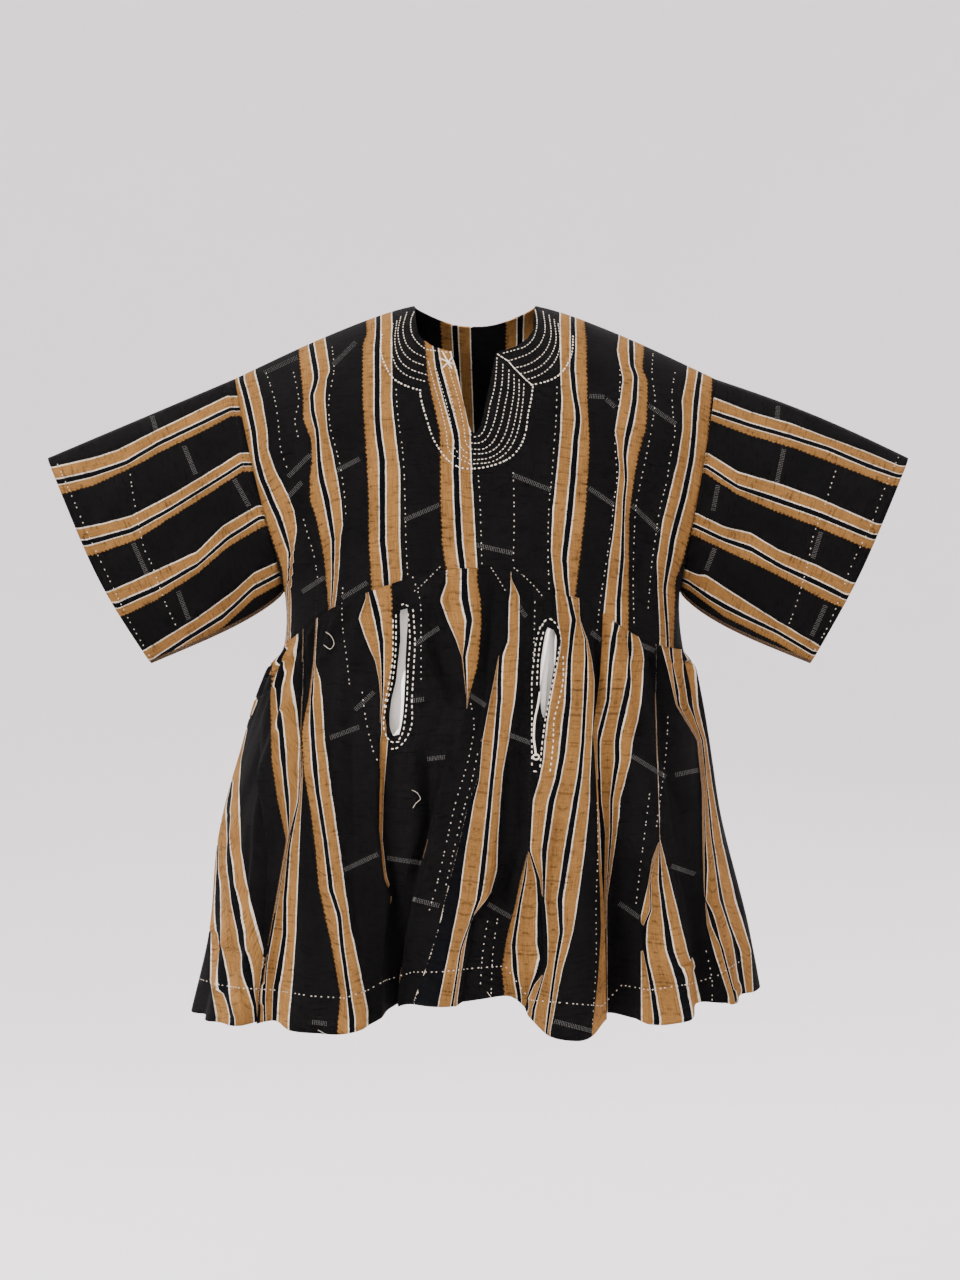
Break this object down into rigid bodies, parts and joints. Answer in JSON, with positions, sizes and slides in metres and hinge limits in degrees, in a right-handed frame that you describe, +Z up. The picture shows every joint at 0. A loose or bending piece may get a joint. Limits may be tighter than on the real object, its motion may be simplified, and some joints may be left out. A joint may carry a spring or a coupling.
{
  "type": "fugu smock in its worn shape",
  "caption": "Short-sleeved smock of striped cotton strips, worn shape, with a slit round neck, gathered flared skirt and slit pockets.",
  "frame": {"origin": "on the shoulder line beside the neck opening, where the wearer's shoulders carry the smock", "axes": "+Z up, -Y out of the smock's front, +X to the right of a viewer who faces the front"},
  "size_m": [0.9466, 0.3354, 0.7807],
  "materials": {
    "striped_cotton": "black strip-woven cotton with tan, white and navy warp stripes",
    "white_cotton": "plain white cotton lining"
  },
  "bodies": {
    "root": {"yoke_front": "striped_cotton", "yoke_back": "striped_cotton", "sleeve_left": "striped_cotton", "sleeve_right": "striped_cotton", "skirt_front": "striped_cotton", "skirt_back": "striped_cotton", "pocket_bag_left": "white_cotton", "pocket_bag_right": "white_cotton"}
  },
  "joints": []
}
